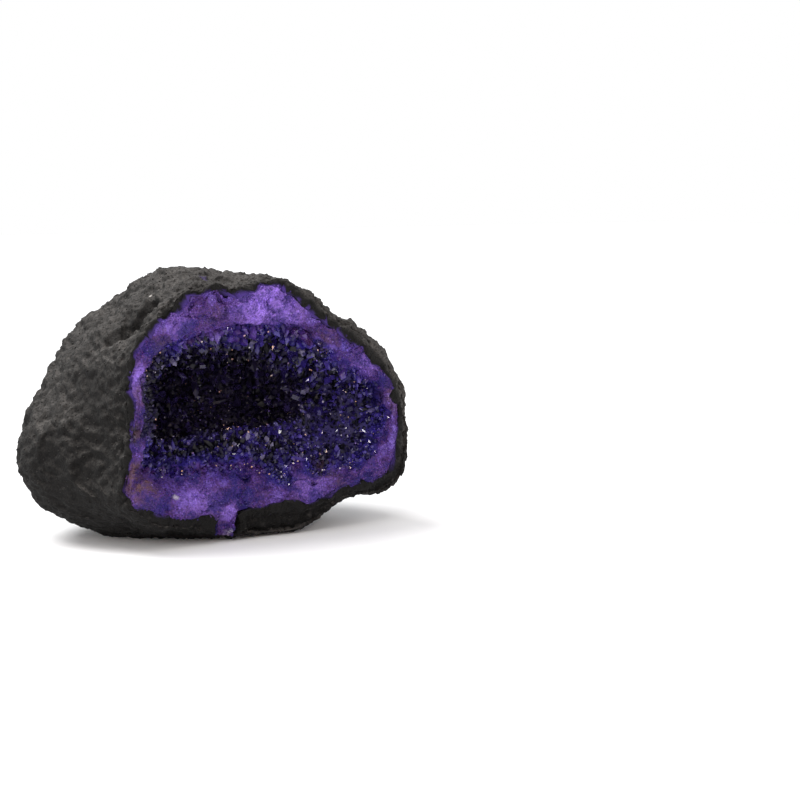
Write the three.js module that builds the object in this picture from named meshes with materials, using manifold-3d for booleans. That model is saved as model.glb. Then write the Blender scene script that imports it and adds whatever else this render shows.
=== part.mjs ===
// Half of a broken geode, standing on edge: a dark lumpy stone rind, and in it one crust of dyed quartz
// around a hollow lined with crystals. Millimetres, +Z up. The hollow opens towards -Y, and the origin is
// under the middle of the stone, on the surface that it stands on.
import * as THREE from "three";
import { mergeVertices } from "three/addons/utils/BufferGeometryUtils.js";
import Module from "manifold-3d";

// The stone's outer edge just behind the broken face, as [x, z] from the right-hand end anticlockwise.
const brokenEdge = [
  [41.8, 20.0],
  [40.6, 26.0],
  [38.1, 30.8],
  [33.0, 34.7],
  [28.0, 39.2],
  [23.5, 42.3],
  [18.7, 45.4],
  [15.0, 48.3],
  [11.0, 49.1],
  [6.7, 49.0],
  [2.7, 47.0],
  [-1.0, 48.3],
  [-4.7, 48.1],
  [-8.2, 46.3],
  [-12.8, 43.8],
  [-15.2, 41.2],
  [-18.5, 37.4],
  [-20.0, 33.0],
  [-19.9, 27.5],
  [-19.4, 21.0],
  [-20.9, 15.0],
  [-21.2, 10.0],
  [-17.4, 6.0],
  [-12.0, 4.0],
  [-6.5, 2.6],
  [1.5, 0.4],
  [10.2, 0.5],
  [17.2, 1.0],
  [21.8, 2.8],
  [24.3, 5.0],
  [30.0, 6.0],
  [36.4, 5.7],
  [39.9, 8.4],
  [41.8, 14.0],
];
// The outer edge of the pale quartz, in the broken face.
const quartzEdge = [
  [38.5, 20.8],
  [37.3, 25.4],
  [34.2, 30.6],
  [30.4, 34.0],
  [26.2, 37.6],
  [21.3, 40.4],
  [16.8, 43.6],
  [14.2, 46.4],
  [10.6, 47.5],
  [6.7, 47.3],
  [2.7, 45.5],
  [-1.0, 46.8],
  [-4.1, 46.7],
  [-7.4, 44.8],
  [-11.4, 42.6],
  [-14.0, 40.1],
  [-17.2, 36.7],
  [-18.7, 32.8],
  [-18.5, 27.5],
  [-18.1, 22.0],
  [-19.4, 15.0],
  [-19.7, 10.6],
  [-16.6, 8.2],
  [-12.6, 6.6],
  [-6.9, 5.5],
  [1.6, 5.0],
  [5.4, 6.5],
  [10.3, 6.9],
  [16.4, 6.5],
  [21.2, 7.3],
  [25.5, 8.5],
  [31.2, 9.1],
  [35.6, 10.8],
  [37.7, 15.0],
];
// Where the pale quartz gives way to the hollow's dark crystals.
const mouthEdge = [
  [36.2, 19.0],
  [36.0, 25.0],
  [31.8, 29.8],
  [24.6, 33.4],
  [19.8, 38.0],
  [12.3, 39.6],
  [4.3, 39.0],
  [-2.6, 38.8],
  [-10.3, 36.4],
  [-14.8, 30.4],
  [-14.2, 26.0],
  [-14.6, 19.3],
  [-15.2, 14.5],
  [-5.2, 12.2],
  [2.3, 12.4],
  [14.0, 11.4],
  [24.2, 11.6],
  [33.4, 14.4],
];
// The stone's widest section, well behind the broken face.
const bellyEdge = [
  [39.0, 24.0],
  [36.0, 33.5],
  [28.5, 41.5],
  [18.5, 47.0],
  [8.0, 48.2],
  [-1.0, 50.0],
  [-10.0, 45.6],
  [-15.8, 39.8],
  [-21.8, 33.0],
  [-27.2, 25.0],
  [-30.0, 17.0],
  [-27.5, 8.5],
  [-19.8, 3.1],
  [-12.0, 0.2],
  [0.0, -0.7],
  [13.0, -0.5],
  [24.0, 2.6],
  [33.0, 8.0],
  [38.0, 15.5],
];
const middle = { x: 6, z: 25 }; // what every ring runs around
const around = 66; // points on a ring, in threes because every third one is a tip in the hollow
const depth = 46; // from the broken face to the far end
const bellyDepth = 20; // where the widest section is
const lip = { depth: 3.2, share: 0.35 }; // how the outer edge rounds over, as a share of the rind's thickness

const rind = {
  wall: 4.2, // its thickness well inside
  wallDepth: 8, // where it has reached that
  backWall: 5.5,
  colour: 0x2e2d2c,
};
const crust = {
  wall: 5.0, // its thickness around the hollow
  wallDepth: 15,
  proud: 0.5, // how far the pale quartz stands out of the broken face
  mouthDepth: 3.8, // where the pale quartz turns into the hollow
  floor: 31, // the hollow's depth
  gap: 0.3, // between the crust and the rind
  colour: 0x5a3bb0,
};
// The hollow's close lining of six-sided points, each on a ring of six feet that it shares with the next.
const druse = {
  rows: 19,
  reach: 1.38, // how far round to the bottom of the hollow the rows go, in radians
  tip: [1.2, 3.4],
  foot: 0.6,
  stray: 0.4,
};
// The larger crystals that stand out of it.
const crystals = {
  onWall: 24,
  atBottom: 18, // these crowd the last part of the hollow
  bottomShare: 0.14,
  radius: [1.3, 2.4],
  height: [3.0, 5.6],
  prism: 0.45, // the straight-sided share of a crystal's height
  sunk: 1.2,
  lean: 0.5,
};
// The vein of quartz that runs down through the rind under the hollow, as [x, z].
const vein = {
  edge: [
    [-2.2, 10.0],
    [-1.5, 5.0],
    [-0.9, -1.0],
    [2.6, -1.0],
    [3.2, 5.0],
    [4.4, 10.0],
  ],
  depth: 3.0,
  reach: 4,
};
// Places where the outside bulges, or where lift is negative dips, with how far each spreads.
const outsideLumps = [
  { x: 1, y: 15, z: 51, reach: 8, lift: 1.4 },
  { x: -10, y: 24, z: 45, reach: 7, lift: -2.2 },
  { x: -16, y: 7, z: 40, reach: 5, lift: -2.2 },
  { x: -20, y: 18, z: 37, reach: 5, lift: 1.0 },
  { x: -31, y: 22, z: 17, reach: 6, lift: 0.8 },
  { x: -26, y: 10, z: 22, reach: 9, lift: 0.8 },
  { x: -18, y: 32, z: 37, reach: 5.5, lift: 1.3 },
  { x: -26, y: 27, z: 24, reach: 5, lift: 1.2 },
  { x: -22, y: 36, z: 12, reach: 9, lift: -1.6 },
  { x: -4, y: 44, z: 30, reach: 10, lift: 2.2 },
  { x: 10, y: 38, z: 42, reach: 8, lift: -2.2 },
  { x: 26, y: 34, z: 36, reach: 9, lift: 2.4 },
  { x: 18, y: 42, z: 16, reach: 9, lift: 1.6 },
  { x: 34, y: 24, z: 14, reach: 8, lift: -1.8 },
  { x: 38, y: 14, z: 30, reach: 8, lift: 1.0 },
  { x: 14, y: 20, z: 51, reach: 7, lift: -1.4 },
  { x: 10, y: 31, z: 1, reach: 12, lift: 2.4 },
  { x: 20, y: 16, z: 1, reach: 10, lift: 0.9 },
];
// The same for the hollow's wall: knobs on the shelf, the roof and the sides.
const hollowLumps = [
  { x: -5, y: 11, z: 11, reach: 4.5, lift: 1.4 },
  { x: 9, y: 13, z: 10, reach: 4.5, lift: 1.8 },
  { x: 20, y: 12, z: 12, reach: 5, lift: 1.4 },
  { x: 20, y: 14, z: 38, reach: 7, lift: 2.8 },
  { x: 31, y: 12, z: 26, reach: 5, lift: 2.2 },
  { x: 2, y: 16, z: 39, reach: 6, lift: 1.8 },
];
// The ridge of crystals along the hollow's floor: the lowest part of the wall is raised here.
const shelf = {
  y: 12.5,
  reach: 5.2,
  lift: 7.6,
  full: 10, // below this height the wall is raised by the whole lift
  none: 32,
  left: [-18, -12],
  right: [27, 37],
};
const grain = [
  { size: 13, lift: 1.0 },
  { size: 7, lift: 0.7 },
  { size: 4.4, lift: 0.55 },
];
const restingFace = { below: 20, reach: 200 }; // the block that is cut away under the stone, at z = 0

const wasm = await Module();
wasm.setup();

// A repeatable random number for any three whole numbers, from 0 to 1.
function chance(i, j, k) {
  const mixed = Math.sin(i * 127.1 + j * 311.7 + k * 74.7) * 43758.5453;
  return mixed - Math.floor(mixed);
}

// Smooth noise from -1 to 1, whose lumps are about one unit across.
function noise(x, y, z) {
  const [i, j, k] = [Math.floor(x), Math.floor(y), Math.floor(z)];
  const [u, v, w] = [x - i, y - j, z - k].map((t) => t * t * (3 - 2 * t));
  const along = (a, b, t) => a + (b - a) * t;
  const row = (dj, dk) => along(chance(i, j + dj, k + dk), chance(i + 1, j + dj, k + dk), u);
  return 2 * along(along(row(0, 0), row(1, 0), v), along(row(0, 1), row(1, 1), v), w) - 1;
}

// How far a point of a surface is lifted by the lumps near it.
function lumpLift(point, lumps) {
  let lift = 0;
  for (const lump of lumps) {
    const off = Math.hypot(point.x - lump.x, point.y - lump.y, point.z - lump.z) / lump.reach;
    lift += lump.lift * Math.exp(-off * off);
  }
  return lift;
}

// How far a point is lifted by the finer unevenness that is all over the stone.
function grainLift({ x, y, z }) {
  return grain.reduce((sum, { size, lift }) => sum + lift * noise(x / size, y / size, z / size), 0);
}

// The distance from the middle to a closed outline, at each of a ring's angles.
function radiiOf(outline) {
  const curve = new THREE.CatmullRomCurve3(
    outline.map(([x, z]) => new THREE.Vector3(x, 0, z)),
    true,
    "centripetal",
  );
  const samples = curve.getPoints(outline.length * 24).map((p) => ({
    angle: Math.atan2(p.z - middle.z, p.x - middle.x),
    radius: Math.hypot(p.x - middle.x, p.z - middle.z),
  }));
  return ringAngles.map((angle) => {
    const near = samples.map((s) => ({ off: Math.abs(turn(s.angle - angle)), radius: s.radius }));
    near.sort((a, b) => a.off - b.off);
    const [a, b] = near;
    return (a.radius * b.off + b.radius * a.off) / (a.off + b.off || 1);
  });
}

// An angle brought to between -180 and 180 degrees.
function turn(angle) {
  return Math.atan2(Math.sin(angle), Math.cos(angle));
}

// The angle of a place on a ring, counted in points from the right-hand end.
function angleOf(place) {
  return (place / around) * 2 * Math.PI;
}

// A value at any place on a ring, from the list of its values at the ring's points.
function valueAt(values, place) {
  const low = Math.floor(place);
  const [a, b] = [low, low + 1].map((i) => values[((i % around) + around) % around]);
  return a + (b - a) * (place - low);
}

const ringAngles = Array.from({ length: around }, (_, i) => angleOf(i));
const edgeRadii = radiiOf(brokenEdge);
const quartzRadii = radiiOf(quartzEdge);
const mouthRadii = radiiOf(mouthEdge);
const bellyRadii = radiiOf(bellyEdge);

function onRing(place, y, radius) {
  const angle = angleOf(place);
  return new THREE.Vector3(middle.x + radius * Math.cos(angle), y, middle.z + radius * Math.sin(angle));
}

// A ring at depth y, with its radius given for each place around, and turned by some places.
function ringAt(y, radiusOf, turned = 0) {
  return ringAngles.map((_, i) => onRing(i + turned, y, radiusOf(i + turned)));
}

// The stone's plain radius at a depth: the broken edge turns into the belly, which closes at the far end.
function plainRadius(place, y) {
  const share = THREE.MathUtils.smoothstep(y, 0, bellyDepth);
  const past = Math.max(0, (y - bellyDepth) / (depth - bellyDepth));
  const radius = THREE.MathUtils.lerp(valueAt(edgeRadii, place), valueAt(bellyRadii, place), share);
  return radius * Math.sqrt(Math.max(0, 1 - past ** 2.3));
}

// The rind's thickness in the broken face.
function rindAtFace(place) {
  return valueAt(edgeRadii, place) - valueAt(quartzRadii, place);
}

// The stone's radius with the edge rounded over at the broken face.
function outsideRadius(place, y) {
  const rounding = lip.share * rindAtFace(place) * Math.max(0, 1 - y / lip.depth) ** 2;
  return plainRadius(place, y) - rounding;
}

// The radius of the bowl that holds the crust, at a depth.
function bowlRadius(place, y) {
  const bowlDepth = depth - rind.backWall;
  const closing = Math.sqrt(Math.max(0, 1 - (y / bowlDepth) ** 2.6));
  const share = THREE.MathUtils.smoothstep(y, 0, rind.wallDepth);
  const wall = THREE.MathUtils.lerp(rindAtFace(place), rind.wall, share);
  return (plainRadius(place, Math.min(y, bellyDepth)) - wall) * closing;
}

// The radius of the open hollow, at a depth behind the pale quartz.
function hollowRadius(place, y) {
  const share = THREE.MathUtils.smoothstep(y, crust.mouthDepth, crust.wallDepth);
  const inside = bowlRadius(place, crust.wallDepth) - crust.wall;
  const open = THREE.MathUtils.lerp(valueAt(mouthRadii, place), inside, share);
  const past = Math.max(0, (y - crust.mouthDepth) / (crust.floor - crust.mouthDepth));
  return open * Math.sqrt(Math.max(0, 1 - past ** 2.2));
}

// A closed surface from one end point, through rings, to another end point.
function skin(start, rings, end) {
  const points = [start, ...rings.flat(), end];
  const index = [];
  const at = (ring, i) => 1 + ring * around + (i % around);
  for (let i = 0; i < around; i++) {
    index.push(0, at(0, i + 1), at(0, i));
    for (let r = 0; r + 1 < rings.length; r++) {
      index.push(at(r, i), at(r + 1, i + 1), at(r + 1, i), at(r, i), at(r, i + 1), at(r + 1, i + 1));
    }
    index.push(points.length - 1, at(rings.length - 1, i), at(rings.length - 1, i + 1));
  }
  const geometry = new THREE.BufferGeometry().setFromPoints(points);
  geometry.setIndex(index);
  return geometry;
}

// A closed geometry as a manifold-3d solid.
function solidOf(geometry) {
  const plain = geometry.clone();
  plain.deleteAttribute("normal");
  plain.deleteAttribute("uv");
  const merged = mergeVertices(plain, 1e-4);
  return new wasm.Manifold(
    new wasm.Mesh({
      numProp: 3,
      vertProperties: merged.attributes.position.array,
      triVerts: new Uint32Array(merged.index.array),
    }),
  );
}

function meshOf(solid, name, colour, roughness) {
  const { vertProperties, triVerts, numProp, numVert } = solid.getMesh();
  const positions = new Float32Array(numVert * 3);
  for (let v = 0; v < numVert; v++) {
    positions.set(vertProperties.subarray(v * numProp, v * numProp + 3), v * 3);
  }
  const geometry = new THREE.BufferGeometry();
  geometry.setAttribute("position", new THREE.BufferAttribute(positions, 3));
  geometry.setIndex(new THREE.BufferAttribute(new Uint32Array(triVerts), 1));
  geometry.computeVertexNormals();
  const material = new THREE.MeshStandardMaterial({ color: colour, roughness, metalness: 0, flatShading: true });
  const mesh = new THREE.Mesh(geometry, material);
  mesh.name = name;
  return mesh;
}

// The broken face isn't flat: it rises and falls by about a millimetre.
function faceWave(x, z) {
  return 0.9 * noise(x / 11 + 3, 0.5, z / 11) + 0.45 * noise(x / 4.5, 4.5, z / 4.5 + 2);
}

// The outside's rings, lifted by its lumps and grain away from the stone's core.
function roughOutside(ring) {
  const core = new THREE.Vector3(middle.x, bellyDepth, middle.z);
  return ring.map((p) => {
    const away = p.clone().sub(core).normalize();
    const fade = THREE.MathUtils.smoothstep(p.y, 0, 6);
    const lift = lumpLift(p, outsideLumps) * fade + grainLift(p) * (0.35 + 0.65 * fade);
    return p.clone().addScaledVector(away, lift);
  });
}

// A ring near the broken face, moved with its rise and fall.
function onFace(ring, share = 1) {
  return ring.map((p) => new THREE.Vector3(p.x, p.y + share * faceWave(p.x, p.z), p.z));
}

const outsideDepths = [0, 0.6, 1.8, 3.4, 5.8, 8.8, 12, 15.6, 19.4, 23.4, 27.6, 31.6, 35.4, 39, 42.2, 44.8];
const bowlDepths = [0, 5, 14, 24, 33];
const farEnd = new THREE.Vector3(middle.x - 4, depth + 0.6, middle.z);
const hollowHeart = new THREE.Vector3(middle.x + 4, 2, middle.z);

// The whole outside, from the far end to the broken face.
function outsideSkin() {
  return outsideDepths.toReversed().map((y) => {
    const ring = roughOutside(ringAt(y, (i) => outsideRadius(i, y)));
    return onFace(ring, Math.max(0, 1 - y / 8));
  });
}

// The bowl between the rind and the crust, drawn in by a margin, from the broken face to its end.
function bowlSkin(margin) {
  return bowlDepths.map((y) => {
    const ring = ringAt(y, (i) => bowlRadius(i, y) - margin);
    return y === 0 ? onFace(ring) : ring;
  });
}

// Everything inside the bowl, drawn in by a margin, and some way out of its mouth.
function makeMould(margin) {
  const mouth = ringAt(-2 * vein.reach, (i) => bowlRadius(i, 0) - margin);
  const end = new THREE.Vector3(middle.x, depth - rind.backWall - 3 * margin, middle.z);
  const front = new THREE.Vector3(middle.x, -2 * vein.reach, middle.z);
  return solidOf(skin(end, [...bowlSkin(margin).toReversed(), mouth], front));
}

function makeWholeStone() {
  const face = new THREE.Vector3(middle.x, 0, middle.z);
  const ground = new THREE.BoxGeometry(restingFace.reach, restingFace.reach, restingFace.below);
  ground.translate(0, 0, -restingFace.below / 2);
  return solidOf(skin(farEnd, outsideSkin(), face)).subtract(solidOf(ground));
}

// A block along the vein of quartz, grown by a margin where it is a cut in the rind.
function veinBlock(margin) {
  const centre = vein.edge.reduce((sum, [x]) => sum + x, 0) / vein.edge.length;
  const outline = vein.edge.map(([x, z]) => new THREE.Vector2(x + Math.sign(x - centre) * margin, z));
  const block = new THREE.ExtrudeGeometry(new THREE.Shape(outline), {
    depth: vein.depth + margin + vein.reach,
    bevelEnabled: false,
  });
  block.rotateX(Math.PI / 2);
  block.translate(0, vein.depth + margin, 0);
  return solidOf(block);
}

function makeCrustBody() {
  const bandSteps = [
    { share: 0.12, y: -crust.proud },
    { share: 0.5, y: -crust.proud * 0.6 },
    { share: 0.82, y: crust.mouthDepth * 0.3 },
  ];
  const band = bandSteps.map(({ share, y }) =>
    onFace(
      ringAt(y, (place) =>
        THREE.MathUtils.lerp(valueAt(quartzRadii, place) - crust.gap, valueAt(mouthRadii, place), share),
      ),
    ),
  );
  const wall = Array.from({ length: druse.rows }, (_, row) => druseRow(row));
  const floorEnd = intoHollow(new THREE.Vector3(middle.x, crust.floor, middle.z));
  const back = new THREE.Vector3(middle.x, depth - rind.backWall - 3 * crust.gap, middle.z);
  return solidOf(skin(back, [...bowlSkin(crust.gap).toReversed(), ...band, ...wall], floorEnd));
}

function shelfLift({ x, y, z }) {
  const { smoothstep } = THREE.MathUtils;
  const along = smoothstep(x, ...shelf.left) * (1 - smoothstep(x, ...shelf.right));
  const across = Math.exp(-(((y - shelf.y) / shelf.reach) ** 2));
  return shelf.lift * along * across * (1 - smoothstep(z, shelf.full, shelf.none));
}

// A point of the hollow's plain wall, moved towards its heart by the lumps there and up by the shelf.
function intoHollow(p) {
  const inwards = hollowHeart.clone().sub(p).normalize();
  const moved = p.clone().addScaledVector(inwards, lumpLift(p, hollowLumps) + 0.8 * grainLift(p) + 0.4);
  moved.z += shelfLift(p);
  return moved;
}

// One row of the hollow's lining. Each row is half a place on from the last, so that every point has six
// around it, and every third point is a tip.
function druseRow(row) {
  const round = (druse.reach * row) / (druse.rows - 1);
  const y = crust.mouthDepth + (crust.floor - crust.mouthDepth) * Math.sin(round);
  const fade = THREE.MathUtils.smoothstep(row, -1, 2) * THREE.MathUtils.smoothstep(Math.cos(round), 0.1, 0.5);
  return ringAt(y, (place) => hollowRadius(place, y), -row / 2).map((p, i) => {
    const [a, b, c, d] = [1, 2, 3, 4].map((k) => chance(row, i, k));
    const wall = intoHollow(p);
    const inwards = hollowHeart.clone().sub(wall).normalize();
    const rise = (i + row) % 3 === 0 ? THREE.MathUtils.lerp(...druse.tip, a ** 1.5) : -druse.foot * a;
    const stray = new THREE.Vector3(b - 0.5, c - 0.5, d - 0.5).multiplyScalar(2 * druse.stray * fade);
    return wall.addScaledVector(inwards, rise * fade).add(stray);
  });
}

// A quartz crystal, six-sided with a pointed end, standing on the xz plane's origin and pointing along +Y.
function crystalGeometry(radius, height) {
  const profile = [
    new THREE.Vector2(0, -crystals.sunk),
    new THREE.Vector2(radius, -crystals.sunk),
    new THREE.Vector2(radius, height * crystals.prism),
    new THREE.Vector2(0, height),
  ];
  return new THREE.LatheGeometry(profile, 6);
}

// The places of the larger crystals: first close around the hollow's bottom, then evenly over its wall.
function crystalFeet() {
  const golden = around * 0.381966; // the golden angle, which never lines two of them up
  const spread = (count, from, to) =>
    Array.from({ length: count }, (_, n) => THREE.MathUtils.lerp(from, to, (n + 0.5) / count));
  const wallShare = 1 - crystals.bottomShare;
  const shares = [...spread(crystals.atBottom, 1, wallShare), ...spread(crystals.onWall, 0, wallShare)];
  return shares.map((share, n) => {
    const y = THREE.MathUtils.lerp(crust.mouthDepth, crust.floor, share);
    return intoHollow(onRing(n * golden, y, hollowRadius(n * golden, y)));
  });
}

function withCrystals(body) {
  const up = new THREE.Vector3(0, 1, 0);
  return crystalFeet().reduce((grown, foot, n) => {
    const [a, b, c, d] = [1, 2, 3, 4].map((k) => chance(n, k, 9));
    const radius = THREE.MathUtils.lerp(...crystals.radius, b * b);
    const height = THREE.MathUtils.lerp(...crystals.height, c);
    const axis = hollowHeart.clone().sub(foot).normalize();
    axis.x += crystals.lean * (a - 0.5) * 2;
    axis.y += crystals.lean * (c - 0.5);
    axis.z += crystals.lean * (d - 0.5) * 2;
    const geometry = crystalGeometry(radius, height);
    geometry.rotateY(d * Math.PI);
    geometry.applyQuaternion(new THREE.Quaternion().setFromUnitVectors(up, axis.normalize()));
    geometry.translate(foot.x, foot.y, foot.z);
    return grown.add(solidOf(geometry));
  }, body);
}

// A solid with the small pockets that are sealed in between its crystals filled.
function withoutPockets(solid) {
  return solid.decompose().reduce((most, piece) => (piece.volume() > most.volume() ? piece : most));
}

const wholeStone = makeWholeStone();
const rindSolid = wholeStone.subtract(makeMould(0)).subtract(veinBlock(crust.gap));
const lining = withCrystals(makeCrustBody()).intersect(makeMould(crust.gap));
const crustSolid = withoutPockets(lining.add(veinBlock(0).intersect(wholeStone)));

const geodeHalf = new THREE.Group();
geodeHalf.add(meshOf(rindSolid, "rind", rind.colour, 0.9));
geodeHalf.add(meshOf(crustSolid, "crystal_crust", crust.colour, 0.25));

// The origin goes on the surface that the stone stands on, under its middle.
const extent = new THREE.Box3().setFromObject(geodeHalf);
const centre = extent.getCenter(new THREE.Vector3());
geodeHalf.position.set(-centre.x, -centre.y, -extent.min.z);

export default geodeHalf;
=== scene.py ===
import math

import bpy
import numpy as np
from mathutils import Matrix, Vector
from mathutils.bvhtree import BVHTree


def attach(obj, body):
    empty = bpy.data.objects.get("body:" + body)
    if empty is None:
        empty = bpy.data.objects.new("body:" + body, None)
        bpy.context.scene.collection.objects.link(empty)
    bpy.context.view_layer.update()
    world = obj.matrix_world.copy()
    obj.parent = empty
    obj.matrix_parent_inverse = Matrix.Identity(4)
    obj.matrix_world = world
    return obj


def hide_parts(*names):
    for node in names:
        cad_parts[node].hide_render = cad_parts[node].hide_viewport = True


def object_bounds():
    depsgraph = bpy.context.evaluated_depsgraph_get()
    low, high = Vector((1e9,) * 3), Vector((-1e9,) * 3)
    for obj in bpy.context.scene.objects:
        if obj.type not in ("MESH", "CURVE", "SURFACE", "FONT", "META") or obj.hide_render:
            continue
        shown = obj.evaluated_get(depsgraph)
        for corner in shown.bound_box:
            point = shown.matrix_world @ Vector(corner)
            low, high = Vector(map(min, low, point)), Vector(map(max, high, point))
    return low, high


mm = 0.001

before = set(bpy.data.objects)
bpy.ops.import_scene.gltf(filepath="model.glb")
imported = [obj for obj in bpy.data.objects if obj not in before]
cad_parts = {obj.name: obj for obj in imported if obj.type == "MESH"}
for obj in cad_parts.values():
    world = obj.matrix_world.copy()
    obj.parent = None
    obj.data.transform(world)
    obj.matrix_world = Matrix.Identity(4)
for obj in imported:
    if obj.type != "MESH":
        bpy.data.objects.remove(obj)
cadBox = [list(corner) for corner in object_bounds()]
print("geode: frame loaded")


# camera

viewpoint = {
    "azimuth": -34.0,      # round the stone; 0 looks straight into the hollow
    "elevation": 7.0,
    "lens": 85.0,
    "sensor": 36.0,
    "distance": 358.9,     # mm
    "aim": (-0.367, -8.695, 24.6),   # this point of the stone, mm
    "shownAt": (212, 403),           # is seen at this pixel
    "picture": 800,        # pixels on each side
}


def addCamera(v):
    az = math.radians(v["azimuth"])
    el = math.radians(v["elevation"])
    forward = -Vector((math.sin(az) * math.cos(el), -math.cos(az) * math.cos(el), math.sin(el)))
    right = forward.cross(Vector((0, 0, 1))).normalized()
    up = right.cross(forward)
    half = v["picture"] / 2
    focal = v["picture"] * v["lens"] / v["sensor"]
    dx = (v["shownAt"][0] - half) / focal
    dy = (half - v["shownAt"][1]) / focal
    eye = Vector(v["aim"]) * mm - (forward + right * dx + up * dy) * v["distance"] * mm
    turn = Matrix((right, up, -forward)).transposed().to_euler()
    bpy.ops.object.camera_add(location=eye, rotation=turn)
    camera = bpy.context.active_object
    camera.name = "photoCamera"
    camera.data.lens = v["lens"]
    camera.data.sensor_width = v["sensor"]
    camera.data.clip_start = 0.01
    camera.data.clip_end = 20
    bpy.context.scene.camera = camera


addCamera(viewpoint)


# small helpers

def selectOnly(piece):
    bpy.ops.object.select_all(action="DESELECT")
    piece.select_set(True)
    bpy.context.view_layer.objects.active = piece


def mergedCopy(nodeName, pieceName):
    # the CAD node's own mesh is left alone; its copy gets its corners joined
    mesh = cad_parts[nodeName].data.copy()
    mesh.name = pieceName
    mesh.materials.clear()
    piece = bpy.data.objects.new(pieceName, mesh)
    bpy.context.collection.objects.link(piece)
    selectOnly(piece)
    bpy.ops.mesh.customdata_custom_splitnormals_clear()
    bpy.ops.object.mode_set(mode="EDIT")
    bpy.ops.mesh.select_mode(type="FACE")
    bpy.ops.mesh.select_all(action="SELECT")
    bpy.ops.mesh.remove_doubles(threshold=0.001 * mm)
    bpy.ops.object.mode_set(mode="OBJECT")
    return piece


def cornersOf(mesh):
    co = np.empty(len(mesh.vertices) * 3)
    mesh.vertices.foreach_get("co", co)
    return co.reshape(-1, 3)


def normalsOf(mesh):
    no = np.empty(len(mesh.vertices) * 3)
    mesh.vertices.foreach_get("normal", no)
    return no.reshape(-1, 3)


def setCorners(mesh, co):
    mesh.vertices.foreach_set("co", np.ascontiguousarray(co).ravel())
    mesh.update()


def treeOf(mesh):
    return BVHTree.FromPolygons([v.co for v in mesh.vertices], [tuple(p.vertices) for p in mesh.polygons])


def selectFaces(piece, chosen):
    mesh = piece.data
    mesh.vertices.foreach_set("select", np.zeros(len(mesh.vertices), dtype=bool))
    mesh.edges.foreach_set("select", np.zeros(len(mesh.edges), dtype=bool))
    mesh.polygons.foreach_set("select", np.asarray(chosen, dtype=bool))
    mesh.update()


def selectedFaces(mesh):
    flags = np.empty(len(mesh.polygons), dtype=bool)
    mesh.polygons.foreach_get("select", flags)
    return flags


def insideOf(mesh, flags):
    # corners that lie in chosen faces only, so that the border of the patch stays where it is
    chosen = np.zeros(len(mesh.vertices), dtype=bool)
    other = np.zeros(len(mesh.vertices), dtype=bool)
    for face, flag in zip(mesh.polygons, flags):
        for corner in face.vertices:
            if flag:
                chosen[corner] = True
            else:
                other[corner] = True
    return chosen & ~other


def groupOf(piece, name, members):
    group = piece.vertex_groups.new(name=name)
    group.add([int(i) for i in np.flatnonzero(members)], 1.0, "REPLACE")


def facesAway(mesh, tree):
    # faces that have nothing of the other node's mesh close in front of them
    lift, reach = 0.01 * mm, 2.5 * mm
    hits = [tree.ray_cast(face.center + face.normal * lift, face.normal, reach)[0] for face in mesh.polygons]
    return np.array([hit is None for hit in hits])


def subdivideFaces(piece, chosen, cuts):
    selectFaces(piece, chosen)
    bpy.ops.object.mode_set(mode="EDIT")
    bpy.ops.mesh.subdivide(number_cuts=cuts)
    bpy.ops.object.mode_set(mode="OBJECT")


def applyModifier(piece, kind, name, **values):
    selectOnly(piece)
    modifier = piece.modifiers.new(name, kind)
    for key, value in values.items():
        setattr(modifier, key, value)
    bpy.ops.object.modifier_apply(modifier=modifier.name)


def smoothGroup(piece, group, rounds):
    applyModifier(piece, "SMOOTH", group, factor=0.5, iterations=rounds, vertex_group=group)


def displace(piece, name, kind, size, height, detail, contrast, middle):
    texture = bpy.data.textures.new(name, kind)
    texture.noise_scale = size * mm
    texture.contrast = contrast
    if kind == "CLOUDS":
        texture.noise_depth = detail
    applyModifier(piece, "DISPLACE", name, texture=texture, texture_coords="LOCAL", strength=height * mm,
                  mid_level=middle, vertex_group="outside")


def keepInBox(mesh):
    setCorners(mesh, np.clip(cornersOf(mesh), cadBox[0], cadBox[1]))


def repeatedPiece(name, points, faces):
    # points has a row of corners for each copy, faces are those of one copy
    count, corners = points.shape[:2]
    points = np.clip(points.reshape(-1, 3), cadBox[0], cadBox[1])
    allFaces = [tuple(copy * corners + c for c in face) for copy in range(count) for face in faces]
    mesh = bpy.data.meshes.new(name)
    mesh.from_pydata(points.tolist(), [], allFaces)
    mesh.update()
    piece = bpy.data.objects.new(name, mesh)
    bpy.context.collection.objects.link(piece)
    return piece


def setMask(mesh, name, values):
    mask = mesh.attributes.new(name, "FLOAT", "POINT")
    mask.data.foreach_set("value", np.ascontiguousarray(values, dtype=np.float32))


def maskOf(mesh, name):
    values = np.empty(len(mesh.vertices))
    mesh.attributes[name].data.foreach_get("value", values)
    return values


def smoothStep(low, high, x):
    t = np.clip((x - low) / (high - low), 0, 1)
    return t * t * (3 - 2 * t)


def scrambled(h):
    # whole numbers to even noise from 0 to 1
    h = (h ^ (h >> 13)) * 1274126177
    h = h ^ (h >> 16)
    return (h & 0xFFFF) / 65535.0


def cloudAt(p, size, seed):
    # soft noise from 0 to 1 at points given in mm
    q = p / size + seed * 17.31
    cell = np.floor(q).astype(np.int64)
    t = q - cell
    t = t * t * (3 - 2 * t)
    total = np.zeros(len(p))
    for i in (0, 1):
        for j in (0, 1):
            for k in (0, 1):
                at = cell + np.array((i, j, k))
                h = at[:, 0] * 374761393 + at[:, 1] * 668265263 + at[:, 2] * 2147483647 + seed * 9973
                sides = [t[:, axis] if one else 1 - t[:, axis] for axis, one in enumerate((i, j, k))]
                total += scrambled(h) * (sides[0] * sides[1] * sides[2])
    return total


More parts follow.
